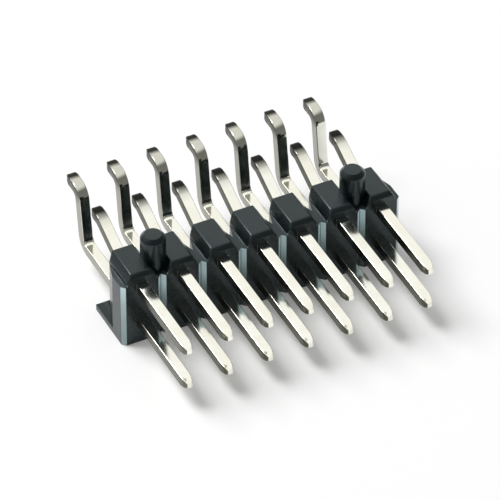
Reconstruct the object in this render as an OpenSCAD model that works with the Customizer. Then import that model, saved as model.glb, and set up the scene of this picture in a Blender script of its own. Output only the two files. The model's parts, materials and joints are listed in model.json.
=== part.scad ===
// Double-row right-angle surface-mount pin header strip with two locating pegs.
// It lies as it rests on a bench: pick-up face down, board side up, mating pins to the front.
// X runs along the strip, the mating pins point to -Y and Z = 0 is the pick-up face.

/* [Layout] */
// Number of pins in each row
columns = 7; // [3:1:10]
// Distance between neighbouring pins of a row
pitch = 2.54; // [2.4:0.02:2.8]
// Distance between the two rows
row_pitch = 2.54; // [2.4:0.02:2.8]

/* [Body] */
// Height from the pick-up face to the tops of the columns
body_h = 5.08; // [4.8:0.02:5.6]
// Depth of the columns from front to back
body_d = 2.6; // [2.3:0.02:3]
// Height of the column tops above the axis of the row nearest the board
top_margin = 1.05; // [0.9:0.05:1.3]
// Gap between the column tops and the board once the strip is soldered
board_gap = 0.35; // [0.1:0.05:0.6]

/* [Columns] */
// Size of the corner cut down each front edge of a column
front_cut = 0.25; // [0.1:0.05:0.4]
// Depth of the notch between two columns at the back
back_notch_d = 1.3; // [0.8:0.05:1.4]
// Width of the notch between two columns at the back
back_notch_w = 0.64; // [0.5:0.02:0.8]
// Size of the small corner cut beside each back face
back_corner = 0.25; // [0.1:0.05:0.3]
// Width of the flat top of a column
crown_w = 1.26; // [1.1:0.02:1.4]
// Height of the bevel down each side of the flat top
crown_bevel_h = 0.5; // [0.3:0.05:0.6]
// Depth of the groove between two column tops
groove_d = 0.7; // [0.6:0.05:0.85]
// Size of the bevel along the front edge of the flat top
front_bevel = 0.25; // [0.1:0.05:0.35]

/* [Foot flange] */
// Thickness of the flange along the pick-up face
flange_t = 0.4; // [0.3:0.05:0.6]
// Reach of the flange behind the back of the columns
flange_reach = 1.02; // [0.6:0.02:1.4]
// Corner cut at the two ends of the flange
flange_corner = 0.12; // [0.05:0.01:0.3]

/* [Locating pegs] */
// Diameter of a peg in its hole in the board
peg_d = 1.5; // [1.2:0.05:1.7]
// How much wider a peg is at its root, for the mould's draft
peg_draft = 0.08; // [0.04:0.02:0.2]
// Height of a peg above the board side of the feet
peg_h = 1.2; // [0.8:0.05:1.5]
// Size of the lead-in cone at the top of a peg
peg_lead = 0.25; // [0.1:0.05:0.35]
// Distance from the back of the columns to the pegs' axes
peg_back = 1.4; // [1.2:0.05:1.6]

/* [Pin wire] */
// Side of the square wire
wire_w = 0.64; // [0.58:0.01:0.7]
// Inside radius of every bend
bend_r = 0.35; // [0.2:0.05:0.45]
// Free length of a pin in front of the body
mate_len = 6.1; // [4:0.1:9]
// Length of the taper at the mating tip
tip_l = 0.6; // [0.3:0.05:0.9]
// Width of the flat left at the mating tip
tip_w = 0.3; // [0.2:0.02:0.4]
// Length of the taper at the end of a foot
heel_l = 0.2; // [0.1:0.02:0.3]
// Width of the flat left at the end of a foot
heel_w = 0.44; // [0.34:0.02:0.54]

/* [Far tails] */
// Run behind the columns before the wire turns up to the board
far_run = 4.9; // [4.4:0.05:6]
// Angle by which the riser leans back
riser_lean = 8; // [0:1:15]
// Length of the far foot, measured from its corner
far_foot = 1.5; // [1.2:0.05:2]

/* [Near tails] */
// Run behind the columns before the wire slopes to the board
near_run = 0.3; // [0.2:0.05:0.5]
// Slope of the near tail
near_slope = 24; // [20:1:35]
// Length of the near foot, measured from its corner
near_foot = 0.85; // [0.7:0.05:1]

/* [Hidden] */
round_steps = 64;
bend_steps = 8;
over = 1;
joint = 0.4;

body_l = columns * pitch;
near_z = body_h - top_margin;
far_z = near_z - row_pitch;
board_z = body_h + board_gap;
foot_z = board_z - wire_w / 2;
peg_top = board_z + peg_h;
peg_x = (columns / 2 - 1) * pitch;
groove_z = body_h - groove_d;

far_rise = foot_z - far_z;
far_back = far_rise * tan(riser_lean);
far_reach = far_run + far_back + far_foot;
near_rise = foot_z - near_z;
near_back = near_rise / tan(near_slope);

total_l = mate_len + body_d + far_reach;
tip_y = -total_l / 2;
front_y = tip_y + mate_len;
back_y = front_y + body_d;

shoulder_w = pitch - back_notch_w;
groove_top_w = pitch - crown_w;

// Place of column i along the strip, counted from 1 at the left.
function column_x(i) = (i - (columns + 1) / 2) * pitch;

// Outline of all the columns seen from above: corner cuts in front, notches behind.
module column_outline() {
    front = [for (i = [1:columns]) each [
        [column_x(i) - pitch / 2, front_y + front_cut],
        [column_x(i) - pitch / 2 + front_cut, front_y],
        [column_x(i) + pitch / 2 - front_cut, front_y]
    ]];
    right_end = [
        [body_l / 2, front_y + front_cut],
        [body_l / 2, back_y - back_notch_d]
    ];
    back = [for (i = [columns:-1:1]) each [
        [column_x(i) + shoulder_w / 2, back_y - back_corner],
        [column_x(i) + shoulder_w / 2 - back_corner, back_y],
        [column_x(i) - shoulder_w / 2 + back_corner, back_y],
        [column_x(i) - shoulder_w / 2, back_y - back_corner],
        [column_x(i) - pitch / 2, back_y - back_notch_d]
    ]];
    polygon(concat(front, right_end, back));
}

// One groove between two column tops, with bevelled sides, cut from front to back.
module groove() {
    translate([0, back_y + over, 0])
        rotate([90, 0, 0])
            linear_extrude(body_d + 2 * over)
                polygon([
                    [-groove_top_w / 2, body_h + over],
                    [-groove_top_w / 2, body_h],
                    [-back_notch_w / 2, body_h - crown_bevel_h],
                    [-back_notch_w / 2, groove_z],
                    [back_notch_w / 2, groove_z],
                    [back_notch_w / 2, body_h - crown_bevel_h],
                    [groove_top_w / 2, body_h],
                    [groove_top_w / 2, body_h + over]
                ]);
}

// Bevel along the front edge of the column tops.
module front_bevel_cut() {
    translate([-body_l / 2 - over, 0, 0])
        rotate([90, 0, 90])
            linear_extrude(body_l + 2 * over)
                polygon([
                    [front_y - over, body_h + over],
                    [front_y - over, body_h - front_bevel - over],
                    [front_y + front_bevel + over, body_h + over]
                ]);
}

// Thin flange along the pick-up face, which reaches behind the columns.
module flange() {
    back = back_y + flange_reach;
    front = back_y - back_notch_d;
    linear_extrude(flange_t)
        polygon([
            [-body_l / 2, front],
            [body_l / 2, front],
            [body_l / 2, back - flange_corner],
            [body_l / 2 - flange_corner, back],
            [-body_l / 2 + flange_corner, back],
            [-body_l / 2, back - flange_corner]
        ]);
}

// Locating peg in the groove between two columns: drafted root, straight part, lead-in.
module peg() {
    root_z = groove_z - joint;
    translate([0, back_y - peg_back, 0]) {
        translate([0, 0, root_z])
            cylinder(d1 = peg_d + peg_draft, d2 = peg_d, h = board_z - root_z, $fn = round_steps);
        translate([0, 0, board_z])
            cylinder(d = peg_d, h = peg_h - peg_lead, $fn = round_steps);
        translate([0, 0, peg_top - peg_lead])
            cylinder(d1 = peg_d, d2 = peg_d - 2 * peg_lead, h = peg_lead, $fn = round_steps);
    }
}

// Square hole that holds one pin.
module pin_hole(z) {
    translate([-wire_w / 2, front_y - over, z - wire_w / 2])
        cube([wire_w, body_d + 2 * over, wire_w]);
}

// Moulded body: columns, flange and pegs in one piece.
module body() {
    color([0.13, 0.15, 0.15])
        difference() {
            union() {
                difference() {
                    linear_extrude(body_h) column_outline();
                    for (i = [0:columns])
                        translate([(i - columns / 2) * pitch, 0, 0]) groove();
                    front_bevel_cut();
                }
                flange();
                for (side = [-1, 1])
                    translate([side * peg_x, 0, 0]) peg();
            }
            for (i = [1:columns], z = [near_z, far_z])
                translate([column_x(i), 0, 0]) pin_hole(z);
        }
}

// Points of an arc about c, from angle a to angle b.
function arc(c, r, a, b) = [
    for (k = [0:bend_steps]) c + r * [cos(a + (b - a) * k / bend_steps), sin(a + (b - a) * k / bend_steps)]
];

// Outline of a pin seen from the side, as points of Y and Z. The run and the foot are
// measured from the corners that the two bends round off.
function wire_outline(z, run, turn, rise, foot) =
    let (
        mid_r = bend_r + wire_w / 2,
        outer_r = bend_r + wire_w,
        cut = mid_r * tan(turn / 2),
        rise_y = back_y + run,
        foot_y = rise_y + rise / tan(turn),
        end_y = foot_y + foot,
        low = [rise_y - cut, z + mid_r],
        high = [foot_y + cut, z + rise - mid_r]
    )
    concat(
        [[tip_y, z - tip_w / 2], [tip_y + tip_l, z - wire_w / 2]],
        arc(low, outer_r, -90, turn - 90),
        arc(high, bend_r, 90 + turn, 90),
        [[end_y - heel_l, z + rise - wire_w / 2], [end_y, z + rise - heel_w / 2]],
        [[end_y, z + rise + heel_w / 2], [end_y - heel_l, z + rise + wire_w / 2]],
        arc(high, outer_r, 90, 90 + turn),
        arc(low, bend_r, turn - 90, -90),
        [[tip_y + tip_l, z + wire_w / 2], [tip_y, z + tip_w / 2]]
    );

// Outline of a pin of length l seen from above: straight wire with both ends tapered.
module plan_outline(l) {
    polygon([
        [-tip_w / 2, tip_y],
        [tip_w / 2, tip_y],
        [wire_w / 2, tip_y + tip_l],
        [wire_w / 2, tip_y + l - heel_l],
        [heel_w / 2, tip_y + l],
        [-heel_w / 2, tip_y + l],
        [-wire_w / 2, tip_y + l - heel_l],
        [-wire_w / 2, tip_y + tip_l]
    ]);
}

// Pin bent from one square wire: mating tip, straight run through the body, riser and foot.
module pin(z, run, turn, rise, foot) {
    reach = run + rise / tan(turn) + foot;
    intersection() {
        translate([-wire_w / 2, 0, 0])
            rotate([90, 0, 90])
                linear_extrude(wire_w)
                    polygon(wire_outline(z, run, turn, rise, foot));
        linear_extrude(board_z) plan_outline(mate_len + body_d + reach);
    }
}

// Pin of the row away from the board, with the long tail.
module far_pin(i) {
    color([0.86, 0.85, 0.78])
        translate([column_x(i), 0, 0])
            pin(far_z, far_run, 90 - riser_lean, far_rise, far_foot);
}

// Pin of the row nearest the board, with the short tail.
module near_pin(i) {
    color([0.86, 0.85, 0.78])
        translate([column_x(i), 0, 0])
            pin(near_z, near_run, near_slope, near_rise, near_foot);
}

body();
for (i = [1:columns]) {
    far_pin(i);
    near_pin(i);
}
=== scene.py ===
"""Looks of a right-angle surface-mount pin header strip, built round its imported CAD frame.

The housing is one notched moulding with two locating pegs. Its columns repeat one cell, and the
square pin holes are cut through them. Each pin is one square wire, swept along its bent path.
Sizes are in millimetres, as in the part's source, and meshes are in metres.
"""

from __future__ import annotations

import json
import logging
import math
from dataclasses import dataclass
from enum import Enum
from typing import Any

import bmesh
import bpy
from bmesh.types import BMesh, BMVert
from bpy.types import Material, Mesh, Node, NodeSocket, NodeTree, Object
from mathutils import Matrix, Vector

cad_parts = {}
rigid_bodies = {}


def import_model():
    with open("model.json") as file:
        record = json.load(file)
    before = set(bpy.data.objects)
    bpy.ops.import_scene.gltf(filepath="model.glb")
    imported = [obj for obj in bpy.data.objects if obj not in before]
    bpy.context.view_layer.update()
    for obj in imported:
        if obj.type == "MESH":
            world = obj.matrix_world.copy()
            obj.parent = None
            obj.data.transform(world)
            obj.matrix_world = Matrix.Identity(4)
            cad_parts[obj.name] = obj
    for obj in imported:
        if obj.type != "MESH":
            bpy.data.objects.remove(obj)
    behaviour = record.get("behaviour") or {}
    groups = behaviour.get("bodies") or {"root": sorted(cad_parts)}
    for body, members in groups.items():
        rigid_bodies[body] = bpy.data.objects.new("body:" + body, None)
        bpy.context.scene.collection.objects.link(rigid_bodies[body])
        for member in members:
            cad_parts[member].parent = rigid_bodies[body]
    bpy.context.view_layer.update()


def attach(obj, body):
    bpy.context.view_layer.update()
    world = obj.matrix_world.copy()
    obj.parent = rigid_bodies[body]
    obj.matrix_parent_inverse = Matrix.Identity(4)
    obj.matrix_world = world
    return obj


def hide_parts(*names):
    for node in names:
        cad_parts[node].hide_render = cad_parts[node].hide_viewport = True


LOG = logging.getLogger("pin_header")
MM = 0.001
BODY = "root"

# Stops of a wire's centre line, from the mating tip to the end of the heel
WIRE_STOPS = ("Tip", "Tip Round", "Tip End", "Low Corner", "High Corner", "Heel", "Heel Round", "End")

# Values that a noise texture mostly keeps to
NOISE_RANGE = (0.3, 0.7)

Colour = tuple[float, float, float, float]
Point = tuple[float, float, float]
Span = tuple[float, float]

# A value for a node's input, or the socket that feeds it
Feed = Any

# Name of each input of a group to its socket type and default, where None sets no default
Inputs = dict[str, tuple[str, Any]]


class Row(Enum):
    """The two rows of pins, named by their CAD nodes."""

    FAR = "far_pin"
    NEAR = "near_pin"


class Slot(Enum):
    """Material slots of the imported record."""

    HOUSING = "housing"
    PIN_METAL = "pin_metal"


@dataclass(frozen=True)
class StripSizes:
    """Driving sizes of the strip in millimetres, the same as in the part's source."""

    columns: int = 7
    pitch: float = 2.54
    row_pitch: float = 2.54
    body_h: float = 5.08
    body_d: float = 2.6
    top_margin: float = 1.05
    board_gap: float = 0.35
    front_cut: float = 0.25
    back_notch_d: float = 1.3
    back_notch_w: float = 0.64
    back_corner: float = 0.25
    crown_w: float = 1.26
    crown_bevel_h: float = 0.5
    groove_d: float = 0.7
    front_bevel: float = 0.25
    flange_t: float = 0.4
    flange_reach: float = 1.02
    peg_d: float = 1.5
    peg_draft: float = 0.08
    peg_h: float = 1.2
    peg_lead: float = 0.25
    peg_back: float = 1.4
    peg_joint: float = 0.4
    wire_w: float = 0.64
    bend_r: float = 0.35
    mate_len: float = 6.1
    tip_l: float = 0.6
    tip_w: float = 0.3
    heel_l: float = 0.2
    heel_w: float = 0.44
    far_run: float = 4.9
    riser_lean: float = 8.0
    far_foot: float = 1.5
    near_run: float = 0.3
    near_slope: float = 24.0
    near_foot: float = 0.85

    @property
    def near_z(self) -> float:
        """Height of the axis of the row nearest the board."""
        return self.body_h - self.top_margin

    @property
    def far_z(self) -> float:
        """Height of the axis of the row away from the board."""
        return self.near_z - self.row_pitch

    @property
    def board_z(self) -> float:
        """Height of the plane in which all feet meet the board."""
        return self.body_h + self.board_gap

    @property
    def foot_z(self) -> float:
        """Height of the axis of the feet."""
        return self.board_z - self.wire_w / 2

    @property
    def groove_z(self) -> float:
        """Height of the groove floors between the column tops."""
        return self.body_h - self.groove_d

    @property
    def body_l(self) -> float:
        """Length of the housing."""
        return self.columns * self.pitch

    @property
    def tip_y(self) -> float:
        """Place of the mating tips, with the strip centred front to back."""
        lean = math.tan(math.radians(self.riser_lean))
        far_reach = self.far_run + (self.foot_z - self.far_z) * lean + self.far_foot
        return -(self.mate_len + self.body_d + far_reach) / 2

    @property
    def front_y(self) -> float:
        """Place of the housing's front face."""
        return self.tip_y + self.mate_len

    @property
    def back_y(self) -> float:
        """Place of the columns' back faces."""
        return self.front_y + self.body_d

    @property
    def shoulder(self) -> float:
        """Half the width of a column below its crown."""
        return (self.pitch - self.back_notch_w) / 2

    @property
    def axis_bend_r(self) -> float:
        """Radius of the bends along the wire's axis."""
        return self.bend_r + self.wire_w / 2

    def column_x(self, column: int) -> float:
        """Returns the place of a column along the strip, counted from 1."""
        return (column - (self.columns + 1) / 2) * self.pitch


class Nodes:
    """Adds and joins the nodes of one tree in short calls."""

    def __init__(self, tree: NodeTree) -> None:
        """Keeps the tree that the nodes go into."""
        self.tree = tree

    def feed(self, node: Node, feeds: dict[Any, Feed]) -> None:
        """Sets or joins inputs of a node.

        Args:
            node: Node whose inputs they are.
            feeds: Input name or number to its feed.
        """
        for key, value in feeds.items():
            if isinstance(value, NodeSocket):
                self.tree.links.new(value, node.inputs[key])
            else:
                node.inputs[key].default_value = value

    def add(self, kind: str, feeds: dict[Any, Feed] | None = None, **settings: Any) -> Node:
        """Adds one node.

        Args:
            kind: Blender's name for the node type.
            feeds: Input name or number to its feed.
            **settings: Properties of the node.

        Returns:
            The new node.
        """
        node = self.tree.nodes.new(kind)
        for name, value in settings.items():
            setattr(node, name, value)
        self.feed(node, feeds or {})
        return node

    def get(self, kind: str, feeds: dict[Any, Feed] | None = None, **settings: Any) -> NodeSocket:
        """Adds one node and returns its first output."""
        return self.add(kind, feeds, **settings).outputs[0]

    def group(self, tree: NodeTree, feeds: dict[str, Feed]) -> Any:
        """Places a shared group and returns its outputs."""
        return self.add("ShaderNodeGroup", feeds, node_tree=tree).outputs

    def math(self, operation: str, *values: Feed) -> NodeSocket:
        """Adds a Math node and returns its output."""
        return self.get("ShaderNodeMath", dict(enumerate(values)), operation=operation)

    def times(self, product: Feed, *values: Feed) -> NodeSocket:
        """Multiplies a first value by the others.

        Args:
            product: The first value.
            *values: The others.

        Returns:
            The product.
        """
        for value in values:
            product = self.math("MULTIPLY", product, value)
        return product

    def ramp(
        self, value: Feed, low: Feed, high: Feed, to_low: Feed = 0.0, to_high: Feed = 1.0
    ) -> NodeSocket:
        """Adds a smooth Map Range node and returns its output."""
        feeds = {"Value": value, "From Min": low, "From Max": high, "To Min": to_low, "To Max": to_high}
        return self.get("ShaderNodeMapRange", feeds, interpolation_type="SMOOTHSTEP")

    def mix(self, factor: Feed, first: Feed, second: Feed) -> NodeSocket:
        """Adds a colour Mix node and returns its output."""
        return self.add("ShaderNodeMix", {0: factor, 6: first, 7: second}, data_type="RGBA").outputs[2]

    def vector(self, **axes: Feed) -> NodeSocket:
        """Makes a vector of the axes X, Y and Z, where one left out is 0."""
        return self.get("ShaderNodeCombineXYZ", axes)

    def axis(self, vector: Feed, name: str) -> NodeSocket:
        """Returns one axis of a vector."""
        return self.add("ShaderNodeSeparateXYZ", {0: vector}).outputs[name]

    def place(self, kind: str = "Object") -> NodeSocket:
        """Returns one of the texture coordinates."""
        return self.add("ShaderNodeTexCoord").outputs[kind]

    def bump(self, height: Feed, strength: float, distance: float) -> NodeSocket:
        """Adds a Bump node and returns its normal."""
        feeds = {"Height": height, "Strength": strength, "Distance": distance}
        return self.get("ShaderNodeBump", feeds)

    def join(self, *parts: NodeSocket) -> NodeSocket:
        """Joins geometries in order.

        Args:
            *parts: The geometries.

        Returns:
            The joined geometry.
        """
        node = self.add("GeometryNodeJoinGeometry")
        for part in parts:
            self.feed(node, {0: part})
        return node.outputs[0]


def new_group(name: str, kind: str, inputs: Inputs, outputs: dict[str, str]) -> NodeTree:
    """Makes an empty node group with named sockets.

    Args:
        name: Name of the group.
        kind: "ShaderNodeTree" or "GeometryNodeTree".
        inputs: Its inputs.
        outputs: Output name to its socket type.

    Returns:
        The group, with no nodes in it.
    """
    group = bpy.data.node_groups.new(name, kind)
    for label, (socket_type, default) in inputs.items():
        socket = group.interface.new_socket(label, in_out="INPUT", socket_type=socket_type)
        if default is not None:
            socket.default_value = default
    for label, socket_type in outputs.items():
        group.interface.new_socket(label, in_out="OUTPUT", socket_type=socket_type)
    return group


def geometry_group(name: str, inputs: Inputs) -> NodeTree:
    """Makes an empty Geometry Nodes tree that turns one geometry into another.

    Args:
        name: Name of the tree.
        inputs: Its inputs beside the geometry.

    Returns:
        The tree, with no nodes in it.
    """
    inputs = {"Geometry": ("NodeSocketGeometry", None), **inputs}
    return new_group(name, "GeometryNodeTree", inputs, {"Geometry": "NodeSocketGeometry"})


def identifier(group: NodeTree, name: str) -> str:
    """Finds the identifier of a group's input, by which a modifier's value is set.

    Args:
        group: Group that has the input.
        name: Name of the input.

    Returns:
        Its identifier.
    """
    for item in group.interface.items_tree:
        if item.item_type == "SOCKET" and item.in_out == "INPUT" and item.name == name:
            return item.identifier
    raise KeyError(name)


def end_tree(nodes: Nodes, given: Any, geometry: NodeSocket) -> None:
    """Ends a tree with real geometry that shades smooth between its creases and has its material.

    Args:
        nodes: Nodes of the tree.
        given: The tree's inputs, with Crease and Material among them.
        geometry: What the tree has made.
    """
    real = nodes.get("GeometryNodeRealizeInstances", {"Geometry": geometry})
    angle = nodes.get("GeometryNodeInputMeshEdgeAngle")
    soft = nodes.math("LESS_THAN", angle, given["Crease"])
    for domain, smooth in (("FACE", True), ("EDGE", soft)):
        feeds = {"Geometry": real, "Shade Smooth": smooth}
        real = nodes.get("GeometryNodeSetShadeSmooth", feeds, domain=domain)
    dressed = nodes.get("GeometryNodeSetMaterial", {"Geometry": real, "Material": given["Material"]})
    nodes.add("NodeGroupOutput", {"Geometry": dressed})


def half_reach(nodes: Nodes, given: Any) -> NodeSocket:
    """Works out how far the last column's axis is from the strip's middle.

    Args:
        nodes: Nodes of the tree.
        given: The tree's inputs, with Columns and Pitch among them.

    Returns:
        The distance.
    """
    last = nodes.math("SUBTRACT", given["Columns"], 1.0)
    return nodes.times(last, given["Pitch"], 0.5)


def at_columns(nodes: Nodes, given: Any, instance: Feed, height: Feed = 0.0) -> NodeSocket:
    """Places an instance at every column of the strip.

    Args:
        nodes: Nodes of the tree.
        given: The tree's inputs, with Columns and Pitch among them.
        instance: Geometry that is repeated.
        height: Height of all its places.

    Returns:
        The instances.
    """
    start = nodes.vector(X=nodes.times(half_reach(nodes, given), -1.0), Z=height)
    feeds = {"Count": given["Columns"], "Start Location": start, "Offset": nodes.vector(X=given["Pitch"])}
    line = nodes.get("GeometryNodeMeshLine", feeds)
    return nodes.get("GeometryNodeInstanceOnPoints", {"Points": line, "Instance": instance})


def new_mesh(name: str, work: BMesh) -> Mesh:
    """Turns a bmesh into a mesh, with its faces outwards, and frees the bmesh.

    Args:
        name: Name of the mesh.
        work: The bmesh, which is a closed shape.

    Returns:
        The mesh.
    """
    bmesh.ops.recalc_face_normals(work, faces=work.faces)
    mesh = bpy.data.meshes.new(name)
    work.to_mesh(mesh)
    work.free()
    return mesh


def skin_rings(work: BMesh, rings: list[list[BMVert]]) -> None:
    """Joins rings of equally many points into one closed shape.

    Args:
        work: Bmesh that holds the points.
        rings: The rings in order, all turning the same way.
    """
    for near, far in zip(rings, rings[1:]):
        for k in range(len(near)):
            n = (k + 1) % len(near)
            work.faces.new([near[k], near[n], far[n], far[k]])
    work.faces.new(list(reversed(rings[0])))
    work.faces.new(rings[-1])


def new_piece(name: str, mesh: Mesh) -> Object:
    """Makes an object of a mesh and links it to the scene.

    Args:
        name: Name of the object.
        mesh: Its mesh.

    Returns:
        The object, at the origin.
    """
    piece = bpy.data.objects.new(name, mesh)
    bpy.context.scene.collection.objects.link(piece)
    return piece


def add_tree(piece: Object, group: NodeTree, values: dict[str, Any]) -> None:
    """Puts a Geometry Nodes tree on a piece.

    Args:
        piece: The piece.
        group: The tree.
        values: Input name to its value, where one left out keeps its default.
    """
    modifier = piece.modifiers.new(group.name, "NODES")
    modifier.node_group = group
    for name, value in values.items():
        modifier[identifier(group, name)] = value


def give_material(piece: Object, material: Material) -> None:
    """Leaves one material on a piece, in its only slot."""
    piece.data.materials.clear()
    piece.data.materials.append(material)


def bake(piece: Object, material: Material) -> None:
    """Turns a piece into its plain mesh, with one material.

    Its normals are weighted by face area, so that only the rounded edges shade round.

    Args:
        piece: The piece, with the modifiers that shape it.
        material: Its only material.
    """
    flats = piece.modifiers.new("flats", "WEIGHTED_NORMAL")
    flats.mode = "FACE_AREA"
    flats.keep_sharp = True
    graph = bpy.context.evaluated_depsgraph_get()
    shape = piece.evaluated_get(graph)
    mesh = bpy.data.meshes.new_from_object(shape, preserve_all_data_layers=True, depsgraph=graph)
    mesh.name = piece.name
    piece.modifiers.clear()
    piece.data = mesh
    give_material(piece, material)


def new_material(name: str) -> tuple[Material, Nodes, Node]:
    """Makes a node material.

    Args:
        name: Name of the material.

    Returns:
        The material, its nodes and its Principled shader.
    """
    material = bpy.data.materials.new(name)
    material.use_nodes = True
    return material, Nodes(material.node_tree), material.node_tree.nodes["Principled BSDF"]


def grain_group() -> NodeTree:
    """Builds the fine surface grain that the housing, the wire and the floor share.

    Returns:
        A group that puts out a height and a slow tone, both about 0 to 1.
    """
    inputs = {
        "Coordinates": ("NodeSocketVector", None),
        "Fine Scale": ("NodeSocketFloat", 20000.0),
        "Slow Scale": ("NodeSocketFloat", 900.0),
        "Fine Share": ("NodeSocketFloat", 0.5),
    }
    outputs = {"Height": "NodeSocketFloat", "Tone": "NodeSocketFloat"}
    nodes = Nodes(new_group("surface_grain", "ShaderNodeTree", inputs, outputs))
    given = nodes.add("NodeGroupInput").outputs
    noise = {}
    for name, detail, roughness in (("Fine", 3.0, 0.6), ("Slow", 2.0, 0.5)):
        feeds = {"Vector": given["Coordinates"], "Scale": given[f"{name} Scale"]}
        feeds.update({"Detail": detail, "Roughness": roughness})
        noise[name] = nodes.get("ShaderNodeTexNoise", feeds)
    fine_part = nodes.times(noise["Fine"], given["Fine Share"])
    slow_part = nodes.times(noise["Slow"], nodes.math("SUBTRACT", 1.0, given["Fine Share"]))
    height = nodes.math("ADD", fine_part, slow_part)
    nodes.add("NodeGroupOutput", {"Height": height, "Tone": nodes.ramp(noise["Slow"], *NOISE_RANGE)})
    return nodes.tree


def edge_group() -> NodeTree:
    """Builds the mask of rubbed edges that the housing and the wire share.

    Returns:
        A group that puts out its strength on edges and 0 on flats.
    """
    inputs = {
        "Reach": ("NodeSocketFloat", 0.05 * MM),
        "Strength": ("NodeSocketFloat", 1.0),
        "Least Turn": ("NodeSocketFloat", 0.004),
        "Full Turn": ("NodeSocketFloat", 0.12),
    }
    nodes = Nodes(new_group("edge_rub", "ShaderNodeTree", inputs, {"Mask": "NodeSocketFloat"}))
    given = nodes.add("NodeGroupInput").outputs
    rounded = nodes.get("ShaderNodeBevel", {"Radius": given["Reach"]}, samples=6)
    plain = nodes.add("ShaderNodeNewGeometry").outputs["Normal"]
    agree = nodes.add("ShaderNodeVectorMath", {0: rounded, 1: plain}, operation="DOT_PRODUCT")
    turn = nodes.math("SUBTRACT", 1.0, agree.outputs["Value"])
    edge = nodes.ramp(turn, given["Least Turn"], given["Full Turn"])
    nodes.add("NodeGroupOutput", {"Mask": nodes.times(edge, given["Strength"])})
    return nodes.tree


@dataclass(frozen=True)
class HousingFinish:
    """Black moulded thermoplastic with a cold cast, a painted highlight on the corner cuts and rubbed
    edges.

    Lengths are in millimetres. The corner cuts carry a painted highlight, which grows with their
    height and dims to painted shade lower down: between the columns from inner_foot, a share
    of that height, and at the strip's two ends from the floor.
    The cuts are looked for within cut_limit times their size of the front and end faces.
    """

    sizes: StripSizes
    base: Colour = (0.0026, 0.0052, 0.0060, 1.0)
    pale: Colour = (0.0050, 0.0088, 0.0098, 1.0)
    rubbed: Colour = (0.022, 0.032, 0.034, 1.0)
    # Colour of the painted highlight on the corner cuts
    corner: Colour = (0.700, 0.890, 0.940, 1.0)
    reflection: Colour = (0.80, 0.97, 1.0, 1.0)
    reflectivity: float = 0.6
    sheen: Span = (0.20, 0.32)
    grain_depth: float = 0.0022
    rub_reach: float = 0.06
    cut_facing: Span = (0.93, 0.99)
    cut_limit: float = 1.5
    inner_foot: float = 0.25
    inner_highlight: Span = (0.10, 1.0)
    outer_highlight: Span = (0.45, 0.75)

    def painted_highlight_mask(self, nodes: Nodes) -> NodeSocket:
        """Masks the painted highlight on the corner cuts down the columns' front edges.

        Args:
            nodes: Nodes of the material.

        Returns:
            The mask, which fades downwards as painted shade.
        """
        s = self.sizes
        limit, top = self.cut_limit * s.front_cut, s.groove_z * MM
        facing, place = nodes.place("Normal"), nodes.place()
        sideways = nodes.math("ABSOLUTE", nodes.axis(facing, "X"))
        diagonal = nodes.times(nodes.math("SUBTRACT", sideways, nodes.axis(facing, "Y")), math.sqrt(0.5))
        in_front = nodes.math("LESS_THAN", nodes.axis(place, "Y"), (s.front_y + limit) * MM)
        from_middle = nodes.math("ABSOLUTE", nodes.axis(place, "X"))
        at_end = nodes.math("GREATER_THAN", from_middle, (s.body_l / 2 - limit) * MM)
        height = nodes.axis(place, "Z")
        # The painted highlight is strongest at the top and dims to painted shade further down
        inner = nodes.ramp(height, self.inner_foot * top, top, *self.inner_highlight)
        outer = nodes.times(at_end, nodes.ramp(height, 0.0, top, *self.outer_highlight))
        tint = nodes.math("MAXIMUM", inner, outer)
        return nodes.times(nodes.ramp(diagonal, *self.cut_facing), in_front, tint)

    def build(self, grain: NodeTree, edges: NodeTree) -> Material:
        """Makes the material.

        Args:
            grain: Shared group of surface grain.
            edges: Shared group of rubbed edges.

        Returns:
            The housing's material.
        """
        material, nodes, shader = new_material("housing_satin")
        scales = {"Fine Scale": 26000.0, "Slow Scale": 1100.0, "Fine Share": 0.7}
        skin = nodes.group(grain, {"Coordinates": nodes.place(), **scales})
        rub = nodes.group(edges, {"Reach": self.rub_reach * MM, "Strength": 0.5})["Mask"]
        tone = nodes.mix(skin["Tone"], self.base, self.pale)
        worn = nodes.mix(rub, tone, self.rubbed)
        feeds = {
            # Painted highlight on the corner cuts over the housing's own colour
            "Base Color": nodes.mix(self.painted_highlight_mask(nodes), worn, self.corner),
            "Roughness": nodes.ramp(skin["Height"], *NOISE_RANGE, *self.sheen),
            "Normal": nodes.bump(skin["Height"], strength=0.5, distance=self.grain_depth * MM),
            "Specular IOR Level": self.reflectivity,
            "Specular Tint": self.reflection,
        }
        nodes.feed(shader, feeds)
        return material


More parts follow.
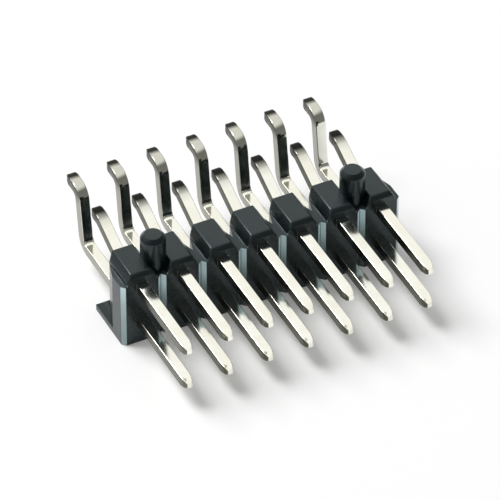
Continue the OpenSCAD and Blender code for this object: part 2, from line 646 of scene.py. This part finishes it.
@dataclass(frozen=True)
class WireFinish:
    """Bright plated wire with faint drawing lines, painted shade on its sides and a darker heel end.

    Lengths are in millimetres. Each fade runs between two distances along the wire, which
    body_fade measures from the tip and the others measure back from the end of the heel.
    The heel's darker end gains the whole dulling in roughness, and the sides gain side_share of
    it. The drawing lines change along the wire at line_pace times their change around it.
    """

    plate: Colour = (0.95, 0.95, 0.88, 1.0)
    warm: Colour = (0.87, 0.84, 0.72, 1.0)
    tinned: Colour = (0.64, 0.635, 0.565, 1.0)
    # Painted shade on the wire's sides, deeper in front of the body and at the foot
    side_shade: Colour = (0.34, 0.335, 0.290, 1.0)
    side_shade_front: Colour = (0.135, 0.135, 0.100, 1.0)
    side_shade_foot: Colour = (0.080, 0.080, 0.056, 1.0)
    # Colour towards the end of the heel, which is darker
    heel_dark: Colour = (0.030, 0.029, 0.024, 1.0)
    warm_share: float = 0.5
    sheen: Span = (0.08, 0.16)
    dulling: float = 0.22
    side_share: float = 0.5
    line_pace: float = 0.04
    line_depth: float = 0.0012
    ripple_share: float = 2.0
    rub_reach: float = 0.04
    side_facing: Span = (0.55, 0.95)
    body_fade: Span = (6.3, 8.5)
    tinned_fade: Span = (2.6, 1.04)
    side_shade_fade: Span = (2.2, 1.32)
    heel_dark_fade: Span = (0.80, 0.40)

    @staticmethod
    def towards_end(nodes: Nodes, along: Feed, length: float, fade: Span) -> NodeSocket:
        """Masks the end of the wire beyond a fade that is measured back from it."""
        return nodes.ramp(along, length - fade[0] * MM, length - fade[1] * MM)

    def side_shade_colour(self, nodes: Nodes, along: Feed, length: float) -> NodeSocket:
        """Colours the sides with painted shade, which is darker in front of the body and at the foot.

        Args:
            nodes: Nodes of the material.
            along: Distance along the wire.
            length: Length of the wire in metres.

        Returns:
            The colour.
        """
        behind = nodes.ramp(along, self.body_fade[0] * MM, self.body_fade[1] * MM)
        dark = self.towards_end(nodes, along, length, self.side_shade_fade)
        return nodes.mix(dark, nodes.mix(behind, self.side_shade_front, self.side_shade), self.side_shade_foot)

    def build(self, grain: NodeTree, edges: NodeTree, length: float) -> Material:
        """Makes the material of one row.

        Args:
            grain: Shared group of surface grain.
            edges: Shared group of rubbed edges.
            length: Length of the row's wire in metres.

        Returns:
            The row's material.
        """
        material, nodes, shader = new_material("plated_wire")
        along = nodes.add("ShaderNodeAttribute", attribute_name="along").outputs["Fac"]
        around = nodes.add("ShaderNodeAttribute", attribute_name="around").outputs["Fac"]
        drawn = nodes.vector(X=nodes.times(along, self.line_pace), Y=around)
        line_scales = {"Fine Scale": 30000.0, "Slow Scale": 6000.0, "Fine Share": 0.4}
        lines = nodes.group(grain, {"Coordinates": drawn, **line_scales})
        cloud_scales = {"Fine Scale": 5000.0, "Slow Scale": 700.0, "Fine Share": 0.3}
        cloud = nodes.group(grain, {"Coordinates": nodes.place(), **cloud_scales})
        rub = nodes.group(edges, {"Reach": self.rub_reach * MM, "Strength": 0.35})["Mask"]
        sideways = nodes.math("ABSOLUTE", nodes.axis(nodes.place("Normal"), "X"))
        side = nodes.ramp(sideways, *self.side_facing)
        foot = self.towards_end(nodes, along, length, self.tinned_fade)
        # Mask of the heel's darker end
        heel = self.towards_end(nodes, along, length, self.heel_dark_fade)
        plated = nodes.mix(nodes.times(cloud["Tone"], self.warm_share), self.plate, self.warm)
        top = nodes.mix(foot, nodes.mix(rub, plated, self.warm), self.tinned)
        # Painted shade on the sides of the wire
        wire = nodes.mix(side, top, self.side_shade_colour(nodes, along, length))
        roughness = nodes.ramp(lines["Height"], *NOISE_RANGE, *self.sheen)
        dull = nodes.math("MAXIMUM", heel, nodes.times(side, self.side_share))
        ripples = nodes.times(cloud["Height"], self.ripple_share)
        height = nodes.math("ADD", lines["Height"], ripples)
        feeds = {
            "Base Color": nodes.mix(heel, wire, self.heel_dark),
            "Roughness": nodes.math("ADD", roughness, nodes.times(dull, self.dulling)),
            "Normal": nodes.bump(height, strength=0.35, distance=self.line_depth * MM),
            "Metallic": 1.0,
        }
        nodes.feed(shader, feeds)
        return material


@dataclass
class Housing:
    """The moulded housing: notched columns on a flange, with two locating pegs.

    Sizes are in millimetres, the crease in degrees. Small edges are softened by small_share of
    the crowns' soft_edge, and pin holes open by hole_lead at their mouths.
    """

    sizes: StripSizes
    soft_edge: float = 0.08
    small_share: float = 0.38
    soft_steps: int = 3
    hole_lead: float = 0.025
    cut_past_front: float = 0.5
    cut_past_back: float = 0.2
    peg_steps: int = 64
    peg_round: float = 0.05
    weld: float = 0.002
    crease: float = 36.0

    def cell_points(self) -> dict[str, Point]:
        """Gives the corners of the right half of one column and its share of the flange.

        Returns:
            Corner name to its place in millimetres, with the column's axis at X = 0. The letter
            stands for the corner's place in plan: F and G in front, K on the crown, J and I at
            the back, H in the notch and R at the rear of the flange.
        """
        s = self.sizes
        half, shoulder, crown = s.pitch / 2, s.shoulder, s.crown_w / 2
        front, back, notch = s.front_y, s.back_y, s.back_y - s.back_notch_d
        corner_y, rear = s.back_y - s.back_corner, s.back_y + s.flange_reach
        top, groove, bevel_z = s.body_h, s.groove_z, s.body_h - s.crown_bevel_h
        slant = s.crown_bevel_h / (shoulder - crown)
        foot_x = shoulder - s.back_corner
        lip = s.front_bevel
        return {
            "F1": (half - s.front_cut, front, 0),
            "F2": (half - s.front_cut, front, groove),
            "F3": (shoulder, front, groove),
            "F4": (shoulder, front, bevel_z),
            "F5": (crown + lip / slant, front, top - lip),
            "K1": (crown, front + lip, top),
            "K2": (crown, back, top),
            "J5": (foot_x, back, top - slant * (foot_x - crown)),
            "J0": (foot_x, back, s.flange_t),
            "I4": (shoulder, corner_y, bevel_z),
            "I2": (shoulder, corner_y, groove),
            "I0": (shoulder, corner_y, s.flange_t),
            "G1": (half, front + s.front_cut, 0),
            "G2": (half, front + s.front_cut, groove),
            "H2": (half, notch, groove),
            "H0": (half, notch, s.flange_t),
            "R1": (half, rear, s.flange_t),
            "R0": (half, rear, 0),
        }

    def cell_mesh(self) -> Mesh:
        """Makes one column with its share of the flange, closed at the seams to its neighbours.

        Returns:
            The mesh, with its seam faces marked and its edges weighted for the bevel.
        """
        sides = ("F1 G1 G2 F2", "F2 G2 H2 I2 F3", "F3 I2 I4 F4", "F4 I4 J5 K2 K1 F5")
        sides += ("J0 J5 I4 I2 I0", "I0 I2 H2 H0")
        across = ("F1 F2 F3 F4 F5", "F5 K1", "K1 K2", "K2 J5 J0", "J0 I0 H0 R1", "R1 R0", "R0 G1 F1")
        seam = "G1 R0 R1 H0 H2 G2"
        crown = "F4 F5 K1 K2 J5 I4"
        work = bmesh.new()
        weight = work.edges.layers.float.new("bevel_weight_edge")
        seams = work.faces.layers.int.new("seam")
        points = {}
        for name, (x, y, z) in self.cell_points().items():
            for side in (1, -1):
                points[name, side] = work.verts.new(Vector((side * x, y, z)) * MM)

        def outline(names: str, side: int) -> list[BMVert]:
            """Returns the named corners of one side, in turning order for that side."""
            return [points[name, side] for name in names.split()[::side]]

        for names in sides:
            for side in (1, -1):
                work.faces.new(outline(names, side))
        for names in across:
            work.faces.new(outline(names, 1) + outline(names, -1))
        for side in (1, -1):
            work.faces.new(outline(seam, side))[seams] = 1
        crown_points = set(outline(crown, 1) + outline(crown, -1))
        for edge in work.edges:
            edge[weight] = 1.0 if crown_points.issuperset(edge.verts) else self.small_share
        return new_mesh("column_cell", work)

    def cutter_mesh(self) -> Mesh:
        """Makes the tool that cuts one square pin hole, flared at both ends.

        Returns:
            The mesh, with the hole's axis at X = Z = 0.
        """
        s = self.sizes
        half, flare = s.wire_w / 2, s.wire_w / 2 + self.hole_lead
        outline = [
            (s.front_y - self.cut_past_front, flare),
            (s.front_y, flare),
            (s.front_y + self.hole_lead, half),
            (s.back_y - self.hole_lead, half),
            (s.back_y, flare),
            (s.back_y + self.cut_past_back, flare),
        ]
        work = bmesh.new()
        rings = []
        for y, r in outline:
            corners = ((-r, -r), (r, -r), (r, r), (-r, r))
            rings.append([work.verts.new(Vector((x, y, z)) * MM) for x, z in corners])
        skin_rings(work, rings)
        return new_mesh("hole_cutter", work)

    def peg_mesh(self) -> Mesh:
        """Turns one locating peg: drafted root, straight part, lead-in with softened edges.

        Returns:
            The mesh, with the peg's axis at X = Y = 0.
        """
        s = self.sizes
        r, top, lead, soft = s.peg_d / 2, s.board_z + s.peg_h, s.peg_lead, self.peg_round
        slope, rise, inset = soft * math.sqrt(0.5), soft * 0.2, soft * 0.16
        outline = [
            (r + s.peg_draft / 2, s.groove_z - s.peg_joint),
            (r, s.board_z),
            (r, top - lead - soft),
            (r - inset, top - lead - rise),
            (r - slope, top - lead + slope),
            (r - lead + slope, top - slope),
            (r - lead + rise, top - inset),
            (r - lead - soft, top),
        ]
        turns = [2 * math.pi * k / self.peg_steps for k in range(self.peg_steps)]
        work = bmesh.new()
        rings = []
        for radius, z in outline:
            places = [Vector((radius * math.cos(turn), radius * math.sin(turn), z)) for turn in turns]
            rings.append([work.verts.new(place * MM) for place in places])
        skin_rings(work, rings)
        return new_mesh("locating_peg", work)

    def column_tree(self) -> NodeTree:
        """Builds the tree that repeats one column along the strip and welds the seams.

        Returns:
            The tree.
        """
        inputs = {"Columns": ("NodeSocketInt", 7), "Pitch": ("NodeSocketFloat", 2.54 * MM)}
        nodes = Nodes(geometry_group("repeat_columns", inputs))
        given = nodes.add("NodeGroupInput").outputs
        placed = at_columns(nodes, given, given["Geometry"])
        solid = nodes.get("GeometryNodeRealizeInstances", {"Geometry": placed})
        seam = nodes.get("GeometryNodeInputNamedAttribute", {"Name": "seam"}, data_type="INT")
        x = nodes.axis(nodes.get("GeometryNodeInputPosition"), "X")
        inside = nodes.math("LESS_THAN", nodes.math("ABSOLUTE", x), half_reach(nodes, given))
        feeds = {"Geometry": solid, "Selection": nodes.times(seam, inside)}
        opened = nodes.get("GeometryNodeDeleteGeometry", feeds, domain="FACE")
        welded = nodes.get("GeometryNodeMergeByDistance", {"Geometry": opened, "Distance": self.weld * MM})
        nodes.add("NodeGroupOutput", {"Geometry": welded})
        return nodes.tree

    @staticmethod
    def finishing_tree() -> NodeTree:
        """Builds the tree that cuts the grid of pin holes and adds the pegs.

        Returns:
            The tree.
        """
        inputs = {"Columns": ("NodeSocketInt", 7), "Cutter": ("NodeSocketObject", None)}
        inputs.update({"Peg": ("NodeSocketObject", None), "Material": ("NodeSocketMaterial", None)})
        for name in ("Pitch", "Low Row", "High Row", "Peg Half Distance", "Peg Y", "Crease"):
            inputs[name] = ("NodeSocketFloat", 1.0)
        nodes = Nodes(geometry_group("holes_and_pegs", inputs))
        given = nodes.add("NodeGroupInput").outputs
        cutter = nodes.add("GeometryNodeObjectInfo", {"Object": given["Cutter"]}).outputs["Geometry"]
        rows = [at_columns(nodes, given, cutter, given[row]) for row in ("Low Row", "High Row")]
        holes = nodes.get("GeometryNodeRealizeInstances", {"Geometry": nodes.join(*rows)})
        feeds = {"Mesh 1": given["Geometry"], "Mesh 2": holes}
        bored = nodes.get("GeometryNodeMeshBoolean", feeds, operation="DIFFERENCE", solver="EXACT")
        peg = nodes.add("GeometryNodeObjectInfo", {"Object": given["Peg"]}).outputs["Geometry"]
        first = nodes.vector(X=nodes.times(given["Peg Half Distance"], -1.0), Y=given["Peg Y"])
        gap = nodes.vector(X=nodes.times(given["Peg Half Distance"], 2.0))
        pair = nodes.get("GeometryNodeMeshLine", {"Count": 2, "Start Location": first, "Offset": gap})
        pegs = nodes.get("GeometryNodeInstanceOnPoints", {"Points": pair, "Instance": peg})
        end_tree(nodes, given, nodes.join(bored, pegs))
        return nodes.tree

    def build(self, material: Material) -> Object:
        """Makes the housing as one finished piece.

        Args:
            material: The housing's finish.

        Returns:
            The piece, which stands for the CAD body.
        """
        s = self.sizes
        piece = new_piece("housing", self.cell_mesh())
        cutter = new_piece("hole_cutter", self.cutter_mesh())
        peg = new_piece("locating_peg", self.peg_mesh())
        common = {"Columns": s.columns, "Pitch": s.pitch * MM}
        add_tree(piece, self.column_tree(), common)
        edges = piece.modifiers.new("soft_edges", "BEVEL")
        edges.limit_method = "WEIGHT"
        edges.width = self.soft_edge * MM
        edges.segments = self.soft_steps
        edges.use_clamp_overlap = False
        edges.loop_slide = True
        holes = {
            "Low Row": s.far_z * MM,
            "High Row": s.near_z * MM,
            "Cutter": cutter,
            "Peg": peg,
            "Peg Half Distance": (s.columns / 2 - 1) * s.pitch * MM,
            "Peg Y": (s.back_y - s.peg_back) * MM,
            "Crease": math.radians(self.crease),
            "Material": material,
        }
        add_tree(piece, self.finishing_tree(), {**common, **holes})
        bake(piece, material)
        for tool in (cutter, peg):
            bpy.data.objects.remove(tool)
        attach(piece, BODY)
        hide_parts("body")
        return piece


@dataclass
class PinRow:
    """One row of pins, each swept from one square wire.

    Sizes are in millimetres, the crease in degrees. Both ends look round, because each taper has
    a stop part of the way along it, at a share of its length. There the wire has lost tip_slim or
    heel_slim of what the taper takes off its width. The heel's rounding starts before its taper,
    and its end is narrower by end_slim of the wire's width.
    """

    sizes: StripSizes
    row: Row
    edge_r: float = 0.045
    edge_steps: int = 3
    bend_steps: int = 14
    tip_stop: float = 0.35
    tip_slim: float = 0.42
    heel_start: float = 1.6
    heel_stop: float = 0.5
    heel_slim: float = 0.40
    end_slim: float = 0.12
    weld: float = 0.001
    crease: float = 50.0

    def path(self, column: int) -> dict[str, Vector]:
        """Gives the stops of a pin's centre line.

        Args:
            column: Number of the pin's column, from 1.

        Returns:
            Stop name to its place in metres, in the order of WIRE_STOPS.
        """
        s = self.sizes
        far = self.row is Row.FAR
        z = s.far_z if far else s.near_z
        run = s.far_run if far else s.near_run
        turn = 90 - s.riser_lean if far else s.near_slope
        foot = s.far_foot if far else s.near_foot
        low = s.back_y + run
        high = low + (s.foot_z - z) / math.tan(math.radians(turn))
        end = high + foot
        stops = [
            (s.tip_y, z),
            (s.tip_y + s.tip_l * self.tip_stop, z),
            (s.tip_y + s.tip_l, z),
            (low, z),
            (high, s.foot_z),
            (end - s.heel_l * self.heel_start, s.foot_z),
            (end - s.heel_l * self.heel_stop, s.foot_z),
            (end, s.foot_z),
        ]
        x = s.column_x(column)
        return {name: Vector((x, y, height)) * MM for name, (y, height) in zip(WIRE_STOPS, stops)}

    def wire_length(self) -> float:
        """Works out the length of the row's wire, with its bends rounded.

        Returns:
            The length in metres.
        """
        path = self.path(1)
        stops = list(path.values())
        length = sum((b - a).length for a, b in zip(stops, stops[1:]))
        run = path["Low Corner"] - path["Tip End"]
        turn = run.angle(path["High Corner"] - path["Low Corner"])
        return length - 2 * self.sizes.axis_bend_r * MM * (2 * math.tan(turn / 2) - turn)

    @staticmethod
    def at_stops(nodes: Nodes, given: Any, data_type: str, suffix: str = "") -> NodeSocket:
        """Gives each point of the path the input that belongs to its stop.

        Args:
            nodes: Nodes of the tree.
            given: The tree's inputs.
            data_type: "VECTOR" or "FLOAT".
            suffix: What follows the stop's name in the input's name.

        Returns:
            The value at each point.
        """
        switch = nodes.add("GeometryNodeIndexSwitch", data_type=data_type)
        while len(switch.index_switch_items) < len(WIRE_STOPS):
            switch.index_switch_items.new()
        nodes.feed(switch, {0: nodes.get("GeometryNodeInputIndex")})
        nodes.feed(switch, {k: given[name + suffix] for k, name in enumerate(WIRE_STOPS, 1)})
        return switch.outputs[0]

    @staticmethod
    def rounded(nodes: Nodes, curve: Feed, count: Feed, radius: Feed) -> NodeSocket:
        """Rounds the corners of a curve in a number of steps."""
        feeds = {"Curve": curve, "Count": count, "Radius": radius}
        return nodes.get("GeometryNodeFilletCurve", feeds, mode="POLY")

    @staticmethod
    def measured(nodes: Nodes, curve: Feed, name: str) -> NodeSocket:
        """Stores the length along a curve as an attribute, which the finish reads.

        Args:
            nodes: Nodes of the tree.
            curve: The curve.
            name: Name of the attribute.

        Returns:
            The curve with the attribute.
        """
        length = nodes.add("GeometryNodeSplineParameter").outputs["Length"]
        feeds = {"Geometry": curve, "Name": name, "Value": length}
        settings = {"data_type": "FLOAT", "domain": "POINT"}
        return nodes.get("GeometryNodeStoreNamedAttribute", feeds, **settings)

    @classmethod
    def wire_tree(cls) -> NodeTree:
        """Builds the tree that sweeps a square wire along its stops and rounds its bends.

        Returns:
            The tree.
        """
        inputs: Inputs = {name: ("NodeSocketVector", None) for name in WIRE_STOPS}
        inputs.update({f"{name} Width": ("NodeSocketFloat", 1.0) for name in WIRE_STOPS})
        for name in ("Wire Width", "Edge Radius", "Bend Radius", "Weld", "Crease"):
            inputs[name] = ("NodeSocketFloat", 1.0)
        for name in ("Edge Steps", "Bend Steps"):
            inputs[name] = ("NodeSocketInt", 1)
        inputs["Material"] = ("NodeSocketMaterial", None)
        nodes = Nodes(geometry_group("bent_square_wire", inputs))
        given = nodes.add("NodeGroupInput").outputs
        line = nodes.get("GeometryNodeCurvePrimitiveLine", {"Start": given["Tip"], "End": given["End"]})
        feeds = {"Curve": line, "Count": len(WIRE_STOPS)}
        stops = nodes.get("GeometryNodeResampleCurve", feeds, mode="COUNT")
        feeds = {"Geometry": stops, "Position": cls.at_stops(nodes, given, "VECTOR")}
        placed = nodes.get("GeometryNodeSetPosition", feeds)
        feeds = {"Curve": placed, "Radius": cls.at_stops(nodes, given, "FLOAT", " Width")}
        sized = nodes.get("GeometryNodeSetCurveRadius", feeds)
        bent = cls.rounded(nodes, sized, given["Bend Steps"], given["Bend Radius"])
        upright = nodes.get("GeometryNodeSetCurveNormal", {"Curve": bent}, mode="Z_UP")
        feeds = {"Width": given["Wire Width"], "Height": given["Wire Width"]}
        square = nodes.get("GeometryNodeCurvePrimitiveQuadrilateral", feeds)
        eased = cls.rounded(nodes, square, given["Edge Steps"], given["Edge Radius"])
        feeds = {
            "Curve": cls.measured(nodes, upright, "along"),
            "Profile Curve": cls.measured(nodes, eased, "around"),
            "Scale": nodes.get("GeometryNodeInputRadius"),
            "Fill Caps": True,
        }
        swept = nodes.get("GeometryNodeCurveToMesh", feeds)
        feeds = {"Geometry": swept, "Distance": given["Weld"]}
        end_tree(nodes, given, nodes.get("GeometryNodeMergeByDistance", feeds))
        return nodes.tree

    def build(self, tree: NodeTree, material: Material) -> list[Object]:
        """Makes every pin of the row.

        Args:
            tree: Tree that sweeps a wire.
            material: The row's finish.

        Returns:
            The pins, each standing for its CAD node.
        """
        s = self.sizes
        tip, heel = s.tip_w / s.wire_w, s.heel_w / s.wire_w
        values = {
            "Tip Width": tip,
            "Tip Round Width": 1 - (1 - tip) * self.tip_slim,
            "Heel Round Width": 1 - (1 - heel) * self.heel_slim,
            "End Width": heel - self.end_slim,
            "Wire Width": s.wire_w * MM,
            "Edge Radius": self.edge_r * MM,
            "Edge Steps": self.edge_steps,
            "Bend Radius": s.axis_bend_r * MM,
            "Bend Steps": self.bend_steps,
            "Weld": self.weld * MM,
            "Crease": math.radians(self.crease),
            "Material": material,
        }
        pins = []
        for column in range(1, s.columns + 1):
            name = f"{self.row.value}_{column}"
            piece = new_piece(f"{name}_wire", bpy.data.meshes.new(name))
            add_tree(piece, tree, {**self.path(column), **values})
            bake(piece, material)
            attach(piece, BODY)
            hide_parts(name)
            pins.append(piece)
        return pins


@dataclass
class Studio:
    """White floor, soft light and the camera. Distances are in millimetres, angles in degrees.

    The camera looks at aim, which shows at aim_pixel. A shiny surface sees the world as dark,
    apart from a bright dome round one direction, and dome_edge holds the cosines of its edge.
    """

    azimuth: float = -26.5
    elevation: float = 41.0
    distance: float = 315.0
    sensor: float = 36.0
    clip: Span = (10.0, 5000.0)
    pixels_per_mm: float = 17.42
    image_width: float = 500.0
    aim: Point = (0.0, 0.0, 2.7)
    aim_pixel: Span = (249.4, 248.2)
    floor_half: float = 300.0
    floor_colour: Colour = (0.90, 0.90, 0.91, 1.0)
    floor_tone: float = 1.01
    floor_glow: float = 0.11
    sky_fill: float = 0.36
    dark_side: Colour = (0.20, 0.202, 0.194, 1.0)
    bright_side: Colour = (1.0, 1.0, 0.97, 1.0)
    dome: Point = (-0.10, 0.45, 0.89)
    dome_edge: Span = (0.40, 0.80)
    key_place: Point = (-190.0, 230.0, 480.0)
    key_size: float = 290.0
    key_power: float = 2.6

    def place_camera(self) -> None:
        """Places the camera at the photograph's viewing angle."""
        a, e = math.radians(self.azimuth), math.radians(self.elevation)
        back = Vector((math.sin(a) * math.cos(e), -math.cos(a) * math.cos(e), math.sin(e)))
        right = Vector((math.cos(a), math.sin(a), 0))
        up = back.cross(right)
        middle = self.image_width / 2
        slide = right * (middle - self.aim_pixel[0]) - up * (middle - self.aim_pixel[1])
        target = Vector(self.aim) + slide / self.pixels_per_mm
        data = bpy.data.cameras.new("view")
        data.sensor_width = self.sensor
        data.lens = data.sensor_width * self.pixels_per_mm * self.distance / self.image_width
        data.clip_start, data.clip_end = (reach * MM for reach in self.clip)
        camera = bpy.data.objects.new("view", data)
        bpy.context.scene.collection.objects.link(camera)
        camera.location = (target + back * self.distance) * MM
        camera.rotation_mode = "QUATERNION"
        camera.rotation_quaternion = (-back).to_track_quat("-Z", "Y")
        bpy.context.scene.camera = camera

    @staticmethod
    def seen_mask(nodes: Nodes) -> NodeSocket:
        """Masks the rays that see the background.

        Args:
            nodes: Nodes of the material or the world.

        Returns:
            1 for camera, glossy and transmission rays.
        """
        path = nodes.add("ShaderNodeLightPath").outputs
        seen = nodes.math("MAXIMUM", path["Is Camera Ray"], path["Is Glossy Ray"])
        return nodes.math("MAXIMUM", seen, path["Is Transmission Ray"])

    def lay_floor(self, grain: NodeTree) -> None:
        """Lays the white floor, which keeps the strip's shadow.

        Args:
            grain: Shared group of surface grain.
        """
        half = self.floor_half * MM
        corners = [(-half, -half, 0), (half, -half, 0), (half, half, 0), (-half, half, 0)]
        mesh = bpy.data.meshes.new("floor")
        mesh.from_pydata(corners, [], [(0, 1, 2, 3)])
        floor = new_piece("floor", mesh)
        material, nodes, shader = new_material("floor_white")
        nodes.tree.nodes.remove(shader)
        scales = {"Fine Scale": 900.0, "Slow Scale": 40.0}
        paper = nodes.group(grain, {"Coordinates": nodes.place(), **scales})
        pale = (*(min(1.0, part * self.floor_tone) for part in self.floor_colour[:3]), 1.0)
        tint = nodes.mix(paper["Tone"], self.floor_colour, pale)
        diffuse = nodes.get("ShaderNodeBsdfDiffuse", {"Color": tint})
        strength = nodes.times(self.seen_mask(nodes), self.floor_glow)
        glow = nodes.get("ShaderNodeEmission", {"Color": (1.0, 1.0, 1.0, 1.0), "Strength": strength})
        both = nodes.get("ShaderNodeAddShader", {0: diffuse, 1: glow})
        nodes.feed(nodes.tree.nodes["Material Output"], {"Surface": both})
        give_material(floor, material)

    def light_world(self) -> None:
        """Gives the world a soft fill, and white where the camera or a shiny surface sees it."""
        world = bpy.data.worlds.new("studio")
        bpy.context.scene.world = world
        world.use_nodes = True
        nodes = Nodes(world.node_tree)
        feeds = {0: nodes.place("Generated"), 1: self.dome}
        near_dome = nodes.add("ShaderNodeVectorMath", feeds, operation="DOT_PRODUCT").outputs["Value"]
        shiny = nodes.mix(nodes.ramp(near_dome, *self.dome_edge), self.dark_side, self.bright_side)
        glossy = nodes.add("ShaderNodeLightPath").outputs["Is Glossy Ray"]
        whitened = nodes.times(self.seen_mask(nodes), 1.0 - self.sky_fill)
        feeds = {
            "Color": nodes.mix(glossy, self.bright_side, shiny),
            "Strength": nodes.math("ADD", self.sky_fill, whitened),
        }
        nodes.feed(world.node_tree.nodes["Background"], feeds)

    def hang_key(self) -> None:
        """Hangs the square softbox that faces the strip."""
        data = bpy.data.lights.new("key", "AREA")
        data.shape = "SQUARE"
        data.size = self.key_size * MM
        data.energy = self.key_power
        lamp = bpy.data.objects.new("key", data)
        bpy.context.scene.collection.objects.link(lamp)
        lamp.location = Vector(self.key_place) * MM
        lamp.rotation_mode = "QUATERNION"
        lamp.rotation_quaternion = (-Vector(self.key_place)).to_track_quat("-Z", "Y")

    def build(self, grain: NodeTree) -> None:
        """Sets up the camera, the floor, the light and the plain view transform.

        Args:
            grain: Shared group of surface grain.
        """
        bpy.context.scene.view_settings.view_transform = "Standard"
        self.place_camera()
        self.lay_floor(grain)
        self.light_world()
        self.hang_key()
        LOG.info("studio: camera at %.1f degrees, %.1f up", self.azimuth, self.elevation)


def main() -> None:
    """Builds the strip's pieces and the studio in order."""
    logging.basicConfig(level=logging.INFO, format="%(name)s %(message)s")
    for thing in list(bpy.data.objects):
        bpy.data.objects.remove(thing)
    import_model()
    sizes = StripSizes()
    grain, edges = grain_group(), edge_group()
    pieces = [Housing(sizes).build(HousingFinish(sizes).build(grain, edges))]
    finishes = {
        Row.FAR: WireFinish(),
        # The near row has deeper painted shade on its sides and a longer, darker heel end
        Row.NEAR: WireFinish(
            heel_dark=(0.014, 0.014, 0.012, 1.0),
            tinned_fade=(1.8, 0.72),
            side_shade_fade=(6.2, 3.72),
            heel_dark_fade=(1.2, 0.6),
        ),
    }
    tree = PinRow.wire_tree()
    for row, finish in finishes.items():
        pins = PinRow(sizes, row)
        pieces += pins.build(tree, finish.build(grain, edges, pins.wire_length()))
    for piece in pieces:
        LOG.info("%s: %d faces", piece.name, len(piece.data.polygons))
    Studio().build(grain)


if __name__ == "__main__":
    main()
